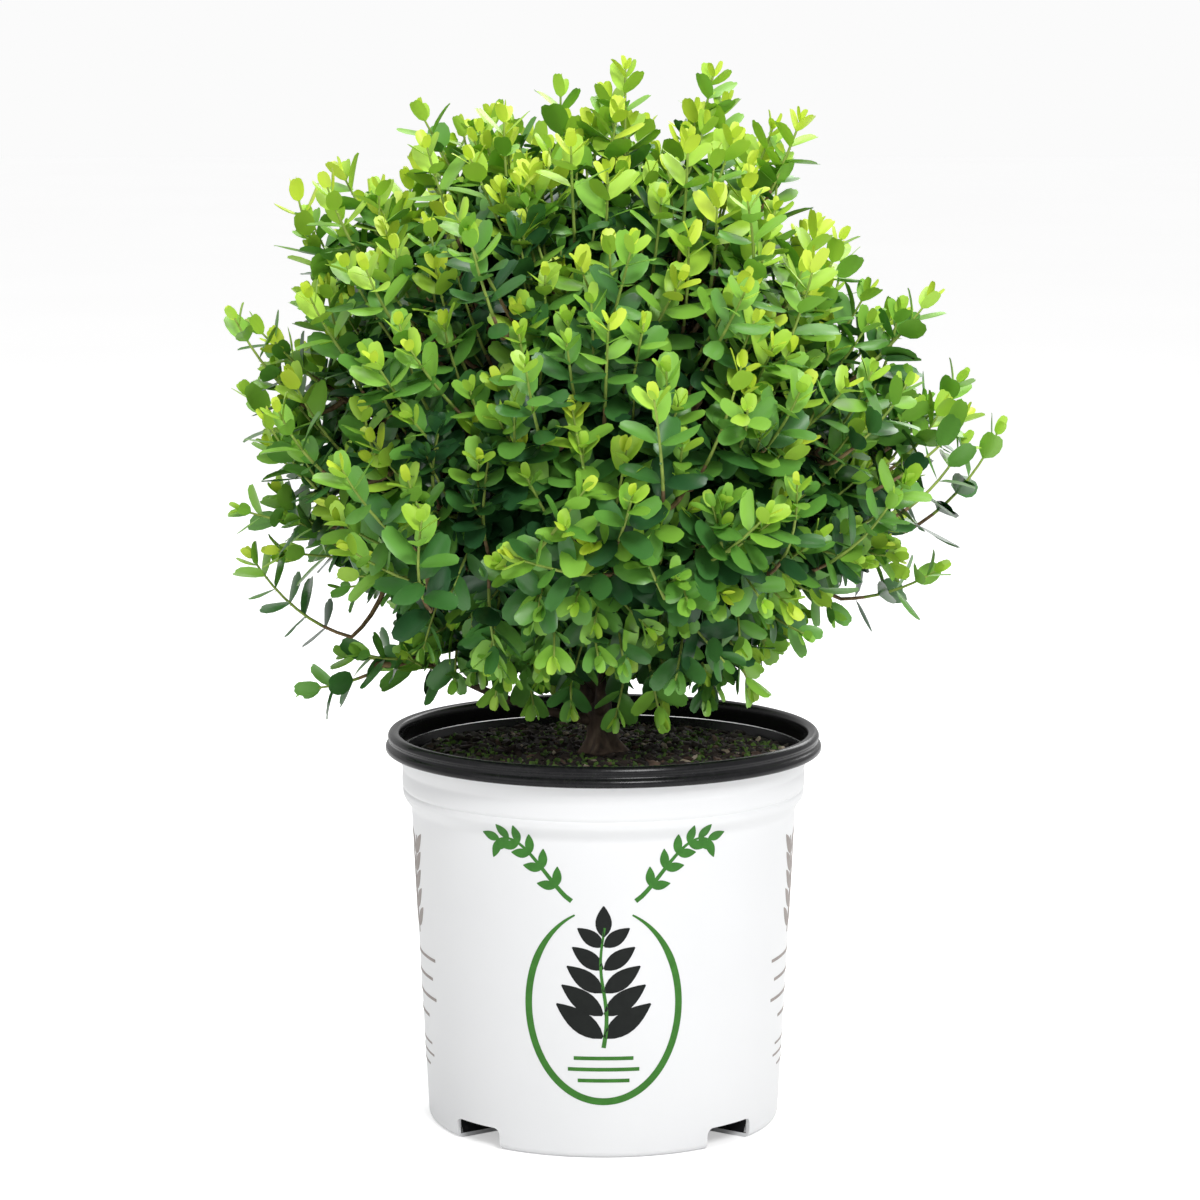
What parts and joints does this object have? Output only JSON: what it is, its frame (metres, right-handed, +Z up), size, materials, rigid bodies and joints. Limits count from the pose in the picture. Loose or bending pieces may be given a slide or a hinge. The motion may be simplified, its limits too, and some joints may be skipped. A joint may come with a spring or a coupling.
{
  "type": "potted boxwood",
  "caption": "Dense rounded boxwood shrub with small oval leaves, in a tapered white nursery pot with a black rolled rim.",
  "frame": {"origin": "centre of the pot's flat underside", "axes": "+Z up, the printed front of the pot faces -Y, +X to the right as seen from the front"},
  "size_m": [0.397, 0.342, 0.55],
  "materials": {
    "pot_white": "smooth glossy white moulded plastic",
    "rim_black": "satin black moulded plastic",
    "potting_soil": "dark crumbly bark-based mix with chips and moss",
    "bark": "rough grey-brown bark",
    "foliage": "glossy leaves, dark green within and yellow-green at the tips"
  },
  "bodies": {
    "root": {"bough_low_sprig": "bark", "bough_lower_1": "bark", "bough_lower_2": "bark", "bough_lower_3": "bark", "bough_lower_4": "bark", "bough_lower_5": "bark", "bough_lower_6": "bark", "bough_middle_1": "bark", "bough_middle_2": "bark", "bough_middle_3": "bark", "bough_middle_4": "bark", "bough_middle_5": "bark", "bough_middle_6": "bark", "bough_middle_7": "bark", "bough_upper_1": "bark", "bough_upper_2": "bark", "bough_upper_3": "bark", "bough_upper_4": "bark", "bough_upper_5": "bark", "foliage_low_sprig": "foliage", "foliage_lower_1": "foliage", "foliage_lower_2": "foliage", "foliage_lower_3": "foliage", "foliage_lower_4": "foliage", "foliage_lower_5": "foliage", "foliage_lower_6": "foliage", "foliage_middle_1": "foliage", "foliage_middle_2": "foliage", "foliage_middle_3": "foliage", "foliage_middle_4": "foliage", "foliage_middle_5": "foliage", "foliage_middle_6": "foliage", "foliage_middle_7": "foliage", "foliage_top": "foliage", "foliage_upper_1": "foliage", "foliage_upper_2": "foliage", "foliage_upper_3": "foliage", "foliage_upper_4": "foliage", "foliage_upper_5": "foliage", "pot": "pot_white", "pot_rim": "rim_black", "soil": "potting_soil", "trunk": "bark"}
  },
  "joints": []
}
